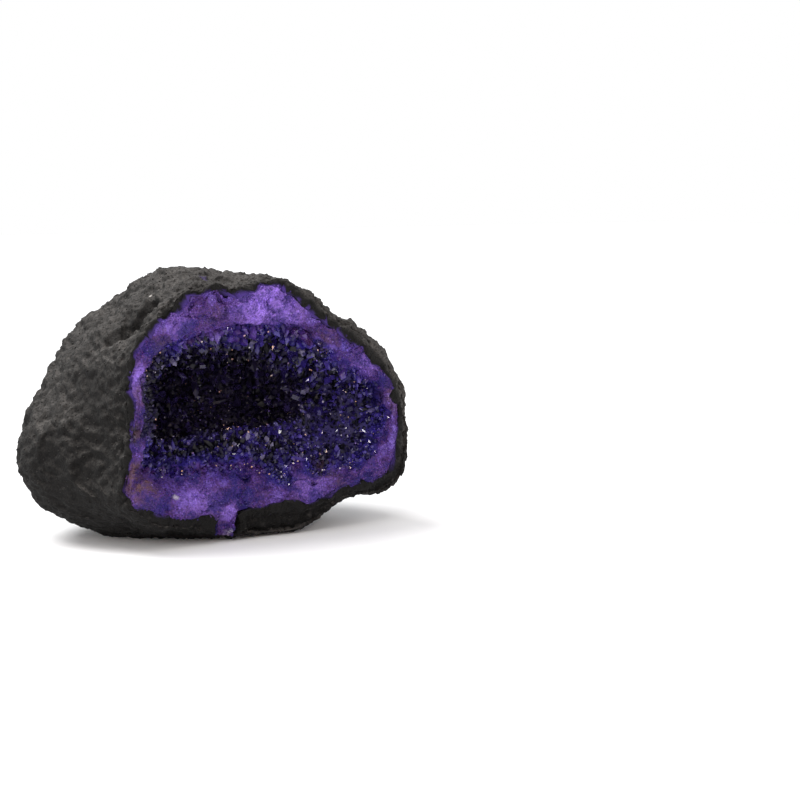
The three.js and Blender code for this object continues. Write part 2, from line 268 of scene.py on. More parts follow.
def lobesAt(p, size, seed):
    # rounded lobes that meet in clefts: 1 on top of a lobe, 0 in a cleft, at points given in mm
    q = p / size + seed * 3.7
    cell = np.floor(q).astype(np.int64)
    nearest = np.full(len(p), 9.0)
    for i in (-1, 0, 1):
        for j in (-1, 0, 1):
            for k in (-1, 0, 1):
                at = cell + np.array((i, j, k))
                far = np.zeros(len(p))
                for axis in range(3):
                    h = at[:, 0] * 374761393 + at[:, 1] * 668265263 + at[:, 2] * 982451653
                    far += (at[:, axis] + scrambled(h + (seed + 13 * axis) * 9973) - q[:, axis]) ** 2
                nearest = np.minimum(nearest, far)
    return np.sqrt(np.clip(1 - nearest / 0.7, 0, 1))


# rind

rindLook = {
    "cuts": 7,               # each outer face becomes 64
    "evened": (17.0, 0.38),  # reach around the pole of the back and least edge, mm
    "rounding": 10,
    "relief": [   # name, kind, size and height in mm, detail, contrast, middle
        ("lumps", "CLOUDS", 5.0, 0.5, 1, 2.2, 0.55),
        ("holes", "CLOUDS", 1.6, 0.2, 0, 4.0, 0.8),
        ("grit", "CLOUDS", 0.9, 0.26, 2, 3.0, 0.5),
        ("nubs", "VORONOI", 0.7, -0.3, 0, 1.0, 0.5),
    ],
    "creases": 60,           # degrees
}

dent = {
    "start": (-23.0, -12.4, 37.6),
    "end": (-17.0, -16.8, 43.8),
    "width": (0.2, 2.4),     # mm from its middle line, where it is deepest and where it ends
    "ragged": 1.6,
    "depth": 1.5,
}

mounds = [  # place, reach and push, mm
    ((28.5, -20.5, 34.0), 7.0, (1.5, 0.0, 1.2)),
    ((23.5, -20.5, 37.8), 5.5, (0.8, 0.0, 1.1)),
    ((14.5, -20.5, 44.0), 5.5, (0.4, 0.0, 1.1)),
    ((33.0, -20.0, 26.0), 6.0, (0.9, 0.0, 0.2)),
    ((-6.0, -9.0, 50.0), 6.5, (0.0, 0.0, 0.7)),
    ((-14.2, 4.5, 43.8), 5.5, (0.9, 0.0, -1.1)),
    ((-34.3, 3.2, 21.7), 4.5, (1.6, 0.0, -0.7)),
]

quartzTree = treeOf(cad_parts["crystal_crust"].data)
stoneTree = treeOf(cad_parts["rind"].data)


def reachedAt(co):
    # mm from each point to the quartz, at most 3
    return np.array([quartzTree.find_nearest(Vector(place), 3 * mm)[3] or 3 * mm for place in co]) / mm


def wander(co, near):
    # the broken front of stone and quartz is pushed about in its own plane, so that their edge is ragged
    p = co / mm
    front = near * (1 - smoothStep(-22.2, -20.8, p[:, 1]))
    for axis, seed in ((0, 31), (2, 32)):
        push = (cloudAt(p, 2.4, seed) - 0.5) * 2.0 + (cloudAt(p, 1.0, seed + 5) - 0.5) * 0.9
        co[:, axis] += push * front * mm
    return co


def pushMounds(mesh, free):
    co = cornersOf(mesh)
    reached = reachedAt(co)
    clear = smoothStep(0.8, 2.4, reached) * free
    for place, reach, push in mounds:
        far = np.linalg.norm(co / mm - np.array(place), axis=1)
        co += (clear * (1 - smoothStep(0.1 * reach, reach, far)))[:, None] * np.array(push) * mm
    # the rim's outer part is rounded off, away from the quartz
    facing = smoothStep(0.3, 0.7, -normalsOf(mesh)[:, 1])
    away = smoothStep(1.1, 3.2, reached + 0.8 * (cloudAt(co / mm, 2.0, 83) - 0.5))
    co[:, 1] += free * facing * away * 2.0 * mm
    setCorners(mesh, co)


def sinkDent(mesh, free, dent):
    co = cornersOf(mesh)
    p = co / mm
    a, b = np.array(dent["start"]), np.array(dent["end"])
    along = np.clip((p - a) @ (b - a) / ((b - a) @ (b - a)), 0, 1)
    far = np.linalg.norm(p - a - along[:, None] * (b - a), axis=1)
    far += (cloudAt(p, 1.6, 81) - 0.5) * dent["ragged"]
    sink = dent["depth"] * (1 - smoothStep(*dent["width"], far)) * free
    co -= normalsOf(mesh) * sink[:, None] * mm
    setCorners(mesh, co)


def poleOf(mesh):
    # the corner where most of the narrow facets of the back meet
    edges = np.array([tuple(edge.vertices) for edge in mesh.edges])
    busiest = int(np.bincount(edges.ravel()).argmax())
    return cornersOf(mesh)[busiest]


def evenOut(piece, pole, look):
    # narrow faces around the pole are merged, so that the relief has no rays there
    reach, least = look["evened"]
    chosen = selectedFaces(piece.data)
    near = np.linalg.norm(cornersOf(piece.data) - pole, axis=1) < reach * mm
    loose = insideOf(piece.data, chosen) & near
    bpy.ops.object.mode_set(mode="EDIT")
    bpy.ops.mesh.select_mode(type="VERT")
    bpy.ops.mesh.select_all(action="DESELECT")
    bpy.ops.object.mode_set(mode="OBJECT")
    piece.data.vertices.foreach_set("select", loose)
    layer = piece.data.attributes.new("outerFace", "BOOLEAN", "FACE")
    layer.data.foreach_set("value", chosen)
    bpy.ops.object.mode_set(mode="EDIT")
    bpy.ops.mesh.remove_doubles(threshold=least * mm)
    bpy.ops.mesh.select_mode(type="FACE")
    bpy.ops.object.mode_set(mode="OBJECT")
    kept = np.zeros(len(piece.data.polygons), dtype=bool)
    piece.data.attributes["outerFace"].data.foreach_get("value", kept)
    piece.data.attributes.remove(piece.data.attributes["outerFace"])
    selectFaces(piece, kept)


def makeRind(look):
    piece = mergedCopy("rind", "rindStone")
    pole = poleOf(piece.data)
    subdivideFaces(piece, facesAway(piece.data, quartzTree), look["cuts"])
    evenOut(piece, pole, look)
    free = insideOf(piece.data, selectedFaces(piece.data))
    groupOf(piece, "outside", free)
    smoothGroup(piece, "outside", look["rounding"])
    pushMounds(piece.data, free)
    sinkDent(piece.data, free, dent)
    for relief in look["relief"]:
        displace(piece, *relief)
    place = cornersOf(piece.data)
    reached = reachedAt(place)
    markRind(piece.data, place, reached, np.full(len(place), 0.5), corners=1)
    setCorners(piece.data, wander(place, 1 - smoothStep(0.8, 3.0, reached)))
    keepInBox(piece.data)
    selectOnly(piece)
    bpy.ops.object.shade_smooth_by_angle(angle=math.radians(look["creases"]))
    piece.vertex_groups.clear()
    print("geode: rind", len(piece.data.polygons), "faces")
    return piece, selectedFaces(piece.data)


rindMarks = {   # mm
    "dyeFront": -20.5,            # the dye lies in front of this
    "dyeHeight": (6.0, 8.5),      # and fades in over this height
    "topSpot": (-4.6, -14.9, 49.1),
    "topSpotFade": (0.3, 1.1),
    "fleck": (-15.1, -12.4, 45.8),
    "fleckFade": (0.15, 0.5),
    # the rim's outer part is painted lighter here, as dust and painted light
    "dustAndLightFromQuartz": (1.5, 2.6),
    "dustAndLightDepth": (-20.5, -17.0),
    "dustAndLightHeight": (8.0, 20.0),
    "dustAndLightRight": (-8.0, 4.0),
    # the broken edge beside the quartz, painted nearly black as painted shade
    "edgeShadeWidth": 1.25,
    "edgeShadeDepth": (-20.6, -19.2),
}


def dyedAt(co, reached):
    # purple dye that has run onto the stone beside the quartz, and a spot of it on top
    p = co / mm
    patchy = cloudAt(p, 1.8, 51) + 0.5 * cloudAt(p, 0.7, 52)
    beside = 1 - smoothStep(0.3, 0.9, reached / (0.05 + patchy ** 2))
    beside *= (p[:, 1] < rindMarks["dyeFront"]) * smoothStep(*rindMarks["dyeHeight"], p[:, 2])
    spot = np.linalg.norm((p - np.array(rindMarks["topSpot"])) * (1.0, 0.45, 1.0), axis=1)
    return np.maximum(beside, (1 - smoothStep(*rindMarks["topSpotFade"], spot)) * 0.9)


def fleckAt(co):
    far = np.linalg.norm((co / mm - np.array(rindMarks["fleck"])) * (0.6, 1.0, 1.0), axis=1)
    return 1 - smoothStep(*rindMarks["fleckFade"], far)


def rimDustAndLightAt(co, reached):
    # dust and painted light on the outer part of the rim, at the top and on the right, where light falls on
    # it
    p = co / mm
    rim = smoothStep(*rindMarks["dustAndLightFromQuartz"], reached + 0.9 * (cloudAt(p, 1.6, 57) - 0.5))
    high = smoothStep(*rindMarks["dustAndLightHeight"], p[:, 2])
    right = smoothStep(*rindMarks["dustAndLightRight"], p[:, 0])
    return rim * (1 - smoothStep(*rindMarks["dustAndLightDepth"], p[:, 1])) * high * right


def edgeShadeAt(co, reached):
    # painted shade: the broken edge of the stone beside the quartz is painted nearly black, where shade falls
    # on it
    p = co / mm
    ragged = rindMarks["edgeShadeWidth"] + 1.1 * (cloudAt(p, 2.6, 55) - 0.5) + 0.7 * (cloudAt(p, 0.9, 56) - 0.5)
    return (1 - smoothStep(0.7, 1.3, reached / ragged)) * (1 - smoothStep(*rindMarks["edgeShadeDepth"], p[:, 1]))


def markRind(mesh, place, reached, tint, corners):
    # each place gives its marks to so many corners of the mesh
    marks = {
        "tint": tint,
        "dyed": dyedAt(place, reached),
        "broken": edgeShadeAt(place, reached),
        "rimDustAndLight": rimDustAndLightAt(place, reached),
        "fleck": fleckAt(place),
    }
    for name, values in marks.items():
        setMask(mesh, name, np.repeat(values, corners))


grainLook = {
    "seed": 5,
    "spacing": 0.85,         # mm between the grains
    "tries": 4,
    "radius": (0.12, 0.32),
    "lowest": 0.3,
    "sunk": 0.25,            # share of the radius
}


def makeGrains(rind, outer, look):
    # coarse grains of the stone, which stand out of it
    rng = np.random.default_rng(look["seed"])
    bpy.ops.object.select_all(action="DESELECT")
    bpy.ops.mesh.primitive_ico_sphere_add(subdivisions=1, radius=1, location=(0, 0, 0))
    master = bpy.context.active_object
    co = cornersOf(master.data)
    faces = [tuple(face.vertices) for face in master.data.polygons]
    bpy.data.objects.remove(master)
    place, normal = sampleFaces(rind.data, outer, look["spacing"] * mm, rng, look["tries"])
    keep = place[:, 2] > look["lowest"] * mm
    place, normal = place[keep], normal[keep]
    count = len(place)
    least, most = look["radius"]
    size = (least + (most - least) * rng.random(count) ** 2) * mm
    turn = np.linalg.qr(rng.normal(0, 1, (count, 3, 3)))[0]
    squash = rng.uniform(0.6, 1.1, (count, 1, 3))
    bumpy = rng.uniform(0.8, 1.2, (count, len(co), 1))
    shape = np.einsum("nvk,nkj->nvj", co[None, :, :] * squash * bumpy, turn) * size[:, None, None]
    points = shape + (place - normal * (size * look["sunk"])[:, None])[:, None, :]
    piece = repeatedPiece("rindGrains", points, faces)
    markRind(piece.data, place, reachedAt(place), rng.random(count), len(co))
    print("geode: rindGrains", count, "grains,", count * len(faces), "triangles")
    return piece


# quartz crust

quartzLook = {
    "bandBack": -19.6,       # mm, the pale band lies in front of this
    "bandCuts": 7,
    "bandRounding": 8,
    "liningRounding": 3,
    "clefts": [(5.5, 1.7, 3), (2.3, 0.8, 4), (0.8, 0.22, 5)],   # size and depth in mm, seed
    "borderFront": -20.8,    # mm, the border in front of this closes up to the stone
    "borderReach": 0.7,
}

stains = [  # place, reach in mm and strength of the ochre stains
    ((-22.7, -22.9, 13.6), 5.6, 1.0),
    ((16.0, -22.9, 36.2), 4.8, 0.8),
    ((30.0, -22.9, 24.0), 4.2, 0.7),
    ((18.5, -21.5, 12.5), 5.0, 0.7),
    ((-22.8, -22.5, 22.0), 3.0, 0.6),
    ((-22.4, -22.5, 29.0), 3.0, 0.6),
    ((-17.5, -22.9, 39.0), 3.0, 0.5),
    ((-6.0, -22.5, 42.0), 3.4, 0.5),
]

brightPlaces = [  # where the quartz is palest
    ((2.6, -22.9, 45.0), 7.5, 1.0),
    ((7.5, -22.9, 42.5), 6.5, 0.85),
    ((-14.0, -22.9, 41.0), 4.5, 0.45),
    ((-23.3, -22.9, 32.0), 4.0, 0.5),
    ((25.5, -22.9, 30.8), 4.5, 0.8),
    ((-10.0, -22.9, 8.8), 6.0, 0.42),
    ((-4.5, -22.9, 5.5), 3.0, 0.7),
    ((13.0, -22.9, 8.8), 5.0, 0.35),
]

bluePlaces = [  # where the dye is bluest
    ((-14.0, -21.8, 15.6), 6.5, 1.0),
    ((-5.0, -20.5, 14.5), 4.5, 0.9),
    ((21.5, -22.9, 35.0), 4.0, 0.8),
    ((-18.0, -22.9, 43.0), 3.0, 0.8),
    ((-4.0, -22.9, 42.0), 3.0, 0.6),
    ((8.0, -21.0, 38.5), 5.0, 0.6),
    ((14.0, -22.9, 6.8), 4.0, 0.6),
    ((-25.3, -22.9, 12.5), 2.2, 0.8),
]

chips = [  # undyed quartz
    ((-4.4, -21.3, 1.2), 1.7, 1.0),
    ((3.8, -23.3, 45.2), 0.9, 0.7),
    ((-15.5, -22.9, 10.0), 0.7, 0.7),
    ((4.2, -21.5, 36.0), 0.8, 0.6),
]


def leftAt(p):
    # 1 at the left wall of the hollow
    return smoothStep(-13.0, -17.5, p[:, 0]) * smoothStep(17.0, 22.0, p[:, 2])


def paleAt(p):
    # 1 on the pale band, 0 in the deeply dyed hollow
    wide = 2.2 * smoothStep(33.0, 38.0, p[:, 2]) * (1 - smoothStep(9.0, 17.0, np.abs(p[:, 0] - 3.0)))
    wide += 3.4 * (1 - smoothStep(13.0, 18.0, p[:, 2])) * (1 - smoothStep(-2.0, 10.0, p[:, 0]))
    wave = 1.2 * leftAt(p) - wide + 4.4 * (cloudAt(p, 4.5, 1) - 0.5) + 2.4 * (cloudAt(p, 1.6, 2) - 0.5)
    return 1 - smoothStep(-22.4, -16.8, p[:, 1] + wave)


def backShadeAt(p):
    # painted shade: the colour is darkened towards the back of the hollow and on its left wall, where shade
    # falls
    return smoothStep(-15.0, -5.0, p[:, 1] + 3.0 * (cloudAt(p, 3.5, 7) - 0.5) + 16.0 * leftAt(p))


def spotsAt(p, spots):
    ragged = 0.75 + 0.5 * cloudAt(p, 1.8, 61)
    total = np.zeros(len(p))
    for place, reach, strength in spots:
        far = np.linalg.norm(p - np.array(place), axis=1) * ragged
        total = np.maximum(total, strength * (1 - smoothStep(0.25 * reach, reach, far)))
    return total


def markQuartz(mesh, tint):
    p = cornersOf(mesh) / mm
    setMask(mesh, "pale", paleAt(p))
    setMask(mesh, "deep", backShadeAt(p))
    setMask(mesh, "stain", spotsAt(p, stains))
    setMask(mesh, "bright", spotsAt(p, brightPlaces))
    setMask(mesh, "bluer", spotsAt(p, bluePlaces))
    setMask(mesh, "chip", spotsAt(p, chips))
    setMask(mesh, "tint", tint)


def carveBand(piece, flags, look):
    # clefts are sunk into the band between its lobes
    mesh = piece.data
    co = cornersOf(mesh)
    down = -normalsOf(mesh)
    free = insideOf(mesh, flags)
    touched = np.zeros(len(co), dtype=bool)
    for face in mesh.polygons:
        if flags[face.index]:
            touched[list(face.vertices)] = True
    border = touched & ~free & (co[:, 1] < look["borderFront"] * mm)
    # the border closes up to the stone and is hardly carved
    for index in np.flatnonzero(border):
        spot = stoneTree.find_nearest(Vector(co[index]), look["borderReach"] * mm)[0]
        if spot:
            co[index] = spot
    down[border] = (0, 0.3, 0)
    moving = free | border
    p = co[moving] / mm
    depth = np.zeros(len(p))
    for size, deep, seed in look["clefts"]:
        bent = p + (cloudAt(p, size * 0.7, seed + 60)[:, None] - 0.5) * size * 0.35
        depth += deep * (1 - lobesAt(bent, size, seed))
    co[moving] += down[moving] * depth[:, None] * mm
    setCorners(mesh, co)
    # painted shade in the clefts: the deeper the cleft, the darker its colour
    cleftShade = np.zeros(len(co))
    cleftShade[moving] = smoothStep(0.5, 2.0, depth)
    setMask(mesh, "cleftShade", cleftShade)


def makeCrust(look):
    piece = mergedCopy("crystal_crust", "quartzCrust")
    front = np.array([face.center.y < look["bandBack"] * mm for face in piece.data.polygons])
    subdivideFaces(piece, facesAway(piece.data, stoneTree) & front, look["bandCuts"])
    band = selectedFaces(piece.data)
    groupOf(piece, "band", insideOf(piece.data, band))
    lining = facesAway(piece.data, stoneTree) & ~band
    groupOf(piece, "lining", insideOf(piece.data, lining))
    smoothGroup(piece, "lining", look["liningRounding"])
    smoothGroup(piece, "band", look["bandRounding"])
    carveBand(piece, band, look)
    setCorners(piece.data, wander(cornersOf(piece.data), 1.0))
    keepInBox(piece.data)
    markQuartz(piece.data, np.full(len(piece.data.vertices), 0.5))
    print("geode: crust", len(piece.data.polygons), "faces,", int(lining.sum()), "in the lining")
    return piece, band, lining


# crystals

def sampleFaces(mesh, chosen, spacing, rng, tries, wanted=None):
    # evenly scattered places on the chosen faces, none closer to another than the spacing
    co = cornersOf(mesh)
    no = normalsOf(mesh)
    triangles = []
    for face in mesh.polygons:
        if chosen[face.index]:
            corners = face.vertices
            for k in range(1, len(corners) - 1):
                triangles.append((corners[0], corners[k], corners[k + 1]))
    triangles = np.array(triangles)
    a, b, c = co[triangles[:, 0]], co[triangles[:, 1]], co[triangles[:, 2]]
    area = np.linalg.norm(np.cross(b - a, c - a), axis=1) / 2
    count = int(area.sum() / (spacing * spacing) * tries)
    pick = rng.choice(len(triangles), size=count, p=area / area.sum())
    u, v = rng.random(count), rng.random(count)
    flip = u + v > 1
    u[flip], v[flip] = 1 - u[flip], 1 - v[flip]
    w = 1 - u - v
    place = a[pick] * w[:, None] + b[pick] * u[:, None] + c[pick] * v[:, None]
    t = triangles[pick]
    normal = no[t[:, 0]] * w[:, None] + no[t[:, 1]] * u[:, None] + no[t[:, 2]] * v[:, None]
    normal /= np.linalg.norm(normal, axis=1)[:, None]
    if wanted:
        fits = wanted(place / mm)
        place, normal = place[fits], normal[fits]
    kept = spreadOut(place, spacing)
    return place[kept], normal[kept]


def spreadOut(place, spacing):
    # which places to keep, so that none is too close to one before it
    cells = {}
    kept = []
    keys = np.floor(place / spacing).astype(int)
    reach = [(i, j, k) for i in (-1, 0, 1) for j in (-1, 0, 1) for k in (-1, 0, 1)]
    limit = spacing * spacing
    places = place.tolist()
    for index, key in enumerate(map(tuple, keys.tolist())):
        x, y, z = places[index]
        near = False
        for i, j, k in reach:
            for qx, qy, qz in cells.get((key[0] + i, key[1] + j, key[2] + k), ()):
                if (x - qx) ** 2 + (y - qy) ** 2 + (z - qz) ** 2 < limit:
                    near = True
                    break
            if near:
                break
        if not near:
            cells.setdefault(key, []).append((x, y, z))
            kept.append(index)
    return kept


def makeCrystal(sides):
    # one crystal to copy: a prism of radius 1 with a point, foot at 0 and tip at 1
    bpy.ops.object.select_all(action="DESELECT")
    bpy.ops.mesh.primitive_cylinder_add(vertices=sides, radius=1, depth=1, location=(0, 0, 0.5))
    master = bpy.context.active_object
    bpy.ops.object.transform_apply(location=True, rotation=True, scale=True)
    bpy.ops.object.mode_set(mode="EDIT")
    bpy.ops.mesh.select_mode(type="FACE")
    bpy.ops.mesh.select_all(action="DESELECT")
    bpy.ops.object.mode_set(mode="OBJECT")
    selectFaces(master, [face.normal.z > 0.9 for face in master.data.polygons])
    bpy.ops.object.mode_set(mode="EDIT")
    bpy.ops.mesh.poke()
    bpy.ops.object.mode_set(mode="OBJECT")
    co = cornersOf(master.data)
    faces = [tuple(face.vertices) for face in master.data.polygons]
    bpy.data.objects.remove(master)
    onAxis = np.hypot(co[:, 0], co[:, 1]) < 0.01
    top = (co[:, 2] > 0.5) & ~onAxis
    return co, faces, top, onAxis & (co[:, 2] > 0.5)


crystalForm = {
    "sunk": 0.6,             # the foot lies so many radii deep
    "flat": (0.7, 1.0),      # width to width across
    "uneven": 0.16,          # shoulders up and down, share of the height
    "tipShift": 0.3,         # share of the radius
    "bright": 0.92,          # a flake sits at this share of the height
}


def growCrystals(name, look, place, normal, radius, height, rng):
    form = crystalForm
    co, faces, top, tip = makeCrystal(look["sides"])
    count, corners = len(place), len(co)
    axis = normal + rng.normal(0, look["lean"], (count, 3))
    axis /= np.linalg.norm(axis, axis=1)[:, None]
    side = np.cross(axis, rng.normal(0, 1, (count, 3)))
    side /= np.linalg.norm(side, axis=1)[:, None]
    across = np.cross(axis, side)
    flat = rng.uniform(*form["flat"], count)
    shoulder = rng.uniform(*look["shoulder"], count)
    x = co[None, :, 0] * radius[:, None]
    y = co[None, :, 1] * (radius * flat)[:, None]
    z = np.zeros((count, corners))
    z[:, co[:, 2] < 0.5] = -form["sunk"] * radius[:, None]
    order = np.argsort(np.arctan2(co[top, 1], co[top, 0]))
    step = np.empty(top.sum())
    step[order] = np.where(np.arange(top.sum()) % 2 == 0, 1.0, -1.0)
    uneven = step[None, :] * rng.uniform(0.0, form["uneven"], count)[:, None]
    z[:, top] = height[:, None] * np.clip(shoulder[:, None] + uneven, 0.05, 0.9)
    z[:, tip] = height[:, None]
    shift = form["tipShift"]
    x[:, tip] = (rng.uniform(-shift, shift, count) * radius)[:, None]
    y[:, tip] = (rng.uniform(-shift, shift, count) * radius)[:, None]
    points = (place[:, None, :] + x[..., None] * side[:, None, :] + y[..., None] * across[:, None, :]
              + z[..., None] * axis[:, None, :])
    piece = repeatedPiece(name, points, faces)
    tint = rng.random(count) ** look["clear"]
    markQuartz(piece.data, np.repeat(tint, corners))
    print("geode:", name, count, "crystals,", sum(len(f) - 2 for f in faces) * count, "triangles")
    return piece, place + axis * (height * form["bright"])[:, None]


def plantCrystals(name, crust, faces, look, rng, wanted=None, swelling=None):
    place, normal = sampleFaces(crust.data, faces, look["spacing"] * mm, rng, look["tries"], wanted)
    swell = swelling(place / mm) if swelling else 1.0
    radius = rng.uniform(*look["radius"], len(place)) * swell * mm
    height = rng.uniform(*look["height"], len(place)) * swell * mm
    return growCrystals(name, look, place, normal, radius, height, rng)


hollowLook = {
    "seed": 11,
    "sides": 6,
    "spacing": 0.64,         # mm between crystals
    "tries": 9,              # places tried for each that such a spacing allows
    "radius": (0.24, 0.56),
    "height": (0.4, 1.4),
    "lean": 0.45,
    "shoulder": (0.25, 0.7),
    "clear": 1.0,            # below 1, more of them are pale and clean
}

bladeLook = {   # sparse large ones on the right and the top of the hollow
    "sides": 6,
    "spacing": 2.7,
    "tries": 9,
    "radius": (0.5, 0.95),
    "height": (1.5, 2.8),
    "lean": 0.35,
    "shoulder": (0.25, 0.7),
    "clear": 0.25,
}

mouthLook = {   # where the pale quartz gives way to the hollow
    "seed": 17,
    "sides": 6,
    "spacing": 0.55,
    "tries": 9,
    "radius": (0.25, 0.5),
    "height": (0.25, 0.9),
    "lean": 0.45,
    "shoulder": (0.25, 0.7),
    "clear": 1.0,
}

sugarLook = {   # sugary grains of the pale band
    "seed": 23,
    "sides": 5,
    "spacing": 0.31,
    "tries": 6,
    "radius": (0.13, 0.3),
    "height": (0.06, 0.28),
    "lean": 0.5,
    "shoulder": (0.05, 0.3),
    "clear": 1.0,
}

glintChipLook = {   # small pale chips that stick to the crystal tips; their white, pink and copper colours are painted glints
    "seed": 29,
    "sides": 4,
    "wanted": 760,
    "radius": (0.05, 0.18),
    "length": (1.0, 2.4),    # in radii
    "lean": 0.45,
    "shoulder": (0.25, 0.7),
    "clear": 1.0,
}


def swellingAt(p):
    # patches of larger crystals, and larger ones at the top
    return 0.62 + 1.1 * cloudAt(p, 3.4, 71) ** 2 + 0.5 * smoothStep(24, 36, p[:, 2])


def hasBlades(p):
    return (p[:, 2] > 22) & (p[:, 0] > -8)


def isMouth(p):
    return paleAt(p) < 0.25 + 0.6 * cloudAt(p, 1.2, 41)


def isBand(p):
    return paleAt(p) > 0.2


def makeGlintChips(tips, look):
    rng = np.random.default_rng(look["seed"])
    place = tips[rng.permutation(len(tips))[:look["wanted"]]]
    count = len(place)
    normal = rng.normal(0, 1, (count, 3))
    normal /= np.linalg.norm(normal, axis=1)[:, None]
    least, most = look["radius"]
    radius = (least + (most - least) * rng.random(count) ** 3) * mm
    length = radius * rng.uniform(*look["length"], count)
    return growCrystals("glintChips", look, place, normal, radius, length, rng)[0]


# materials

def setInputs(node, values):
    for name, value in values.items():
        node.inputs[name].default_value = value


class Nodes:
    # short way to add nodes to a material or a group
    def __init__(self, tree):
        self.tree = tree

    def add(self, kind, **values):
        node = self.tree.nodes.new(kind)
        for key, value in values.items():
            setattr(node, key, value)
        return node

    def link(self, a, b):
        self.tree.links.new(a, b)

    def fill(self, socket, value):
        # value is another node's output, a colour or a number
        if isinstance(value, bpy.types.NodeSocket):
            self.link(value, socket)
        elif isinstance(value, tuple):
            socket.default_value = (*value, 1)
        else:
            socket.default_value = value

    def mix(self, kind, factor, a, b):
        node = self.add("ShaderNodeMix", data_type="RGBA", blend_type=kind)
        for index, value in ((0, factor), (6, a), (7, b)):
            self.fill(node.inputs[index], value)
        return node.outputs[2]

    def math(self, operation, *values):
        node = self.add("ShaderNodeMath", operation=operation)
        for socket, value in zip(node.inputs, values):
            self.fill(socket, value)
        return node.outputs[0]

    def ramp(self, source, stops):
        node = self.add("ShaderNodeValToRGB")
        elements = node.color_ramp.elements
        while len(elements) < len(stops):
            elements.new(0.5)
        for element, (position, colour) in zip(elements, stops):
            element.position = position
            element.color = (*colour, 1) if isinstance(colour, tuple) else (colour, colour, colour, 1)
        self.link(source, node.inputs[0])
        return node.outputs[0]

    def noise(self, vector, scale, detail, roughness=0.55):
        node = self.add("ShaderNodeTexNoise")
        setInputs(node, {"Scale": scale, "Detail": detail, "Roughness": roughness})
        self.link(vector, node.inputs["Vector"])
        return node.outputs["Fac"]

    def voronoi(self, vector, scale):
        node = self.add("ShaderNodeTexVoronoi")
        setInputs(node, {"Scale": scale})
        self.link(vector, node.inputs["Vector"])
        return node.outputs["Distance"]

    def product(self, a, b):
        return self.math("MULTIPLY", a, b)

    def mask(self, name):
        return self.add("ShaderNodeAttribute", attribute_name=name).outputs["Fac"]


def makeGrainGroup():
    # grain of two sizes and small pits, for the rind and for the sugary band
    group = bpy.data.node_groups.new("grainAndPits", "ShaderNodeTree")
    group.interface.new_socket(name="Vector", in_out="INPUT", socket_type="NodeSocketVector")
    for name, way in (("Coarse", "INPUT"), ("Fine", "INPUT"), ("Height", "OUTPUT"), ("Mottle", "OUTPUT")):
        group.interface.new_socket(name=name, in_out=way, socket_type="NodeSocketFloat")
    n = Nodes(group)
    start = n.add("NodeGroupInput")
    end = n.add("NodeGroupOutput")
    coarse = n.add("ShaderNodeTexNoise")
    setInputs(coarse, {"Detail": 5, "Roughness": 0.62})
    n.link(start.outputs["Vector"], coarse.inputs["Vector"])
    n.link(start.outputs["Coarse"], coarse.inputs["Scale"])
    fine = n.add("ShaderNodeTexVoronoi")
    n.link(start.outputs["Vector"], fine.inputs["Vector"])
    n.link(start.outputs["Fine"], fine.inputs["Scale"])
    grain = n.math("MULTIPLY", fine.outputs["Distance"], -0.5)
    height = n.math("ADD", coarse.outputs["Fac"], grain)
    n.link(height, end.inputs["Height"])
    n.link(coarse.outputs["Fac"], end.inputs["Mottle"])
    return group


grainGroup = makeGrainGroup()


def newMaterial(name):
    material = bpy.data.materials.new(name)
    material.use_nodes = True
    material.node_tree.nodes.clear()
    n = Nodes(material.node_tree)
    shader = n.add("ShaderNodeBsdfPrincipled")
    output = n.add("ShaderNodeOutputMaterial")
    n.link(shader.outputs[0], output.inputs["Surface"])
    place = n.add("ShaderNodeTexCoord").outputs["Object"]
    return material, n, shader, place


def bumpOn(n, shader, height, strength, distance):
    bump = n.add("ShaderNodeBump")
    setInputs(bump, {"Strength": strength, "Distance": distance * mm})
    n.link(height, bump.inputs["Height"])
    n.link(bump.outputs[0], shader.inputs["Normal"])


def grainOf(n, place, coarse, fine):
    node = n.add("ShaderNodeGroup", node_tree=grainGroup)
    setInputs(node, {"Coarse": coarse, "Fine": fine})
    n.link(place, node.inputs["Vector"])
    return node.outputs["Height"], node.outputs["Mottle"]


rindColours = {
    "stone": [(0.3, (0.003, 0.0028, 0.0026)), (0.5, (0.006, 0.0055, 0.0053)), (0.75, (0.013, 0.012, 0.011))],
    # stone dust, also used as painted light on what faces up and on the rim's top and right
    "dust": (0.128, 0.120, 0.113),
    # painted shade of the broken edge beside the quartz
    "broken": (0.0035, 0.0032, 0.0028),
    "dye": (0.06, 0.03, 0.2),
    "fleck": (0.7, 0.66, 0.62),
}


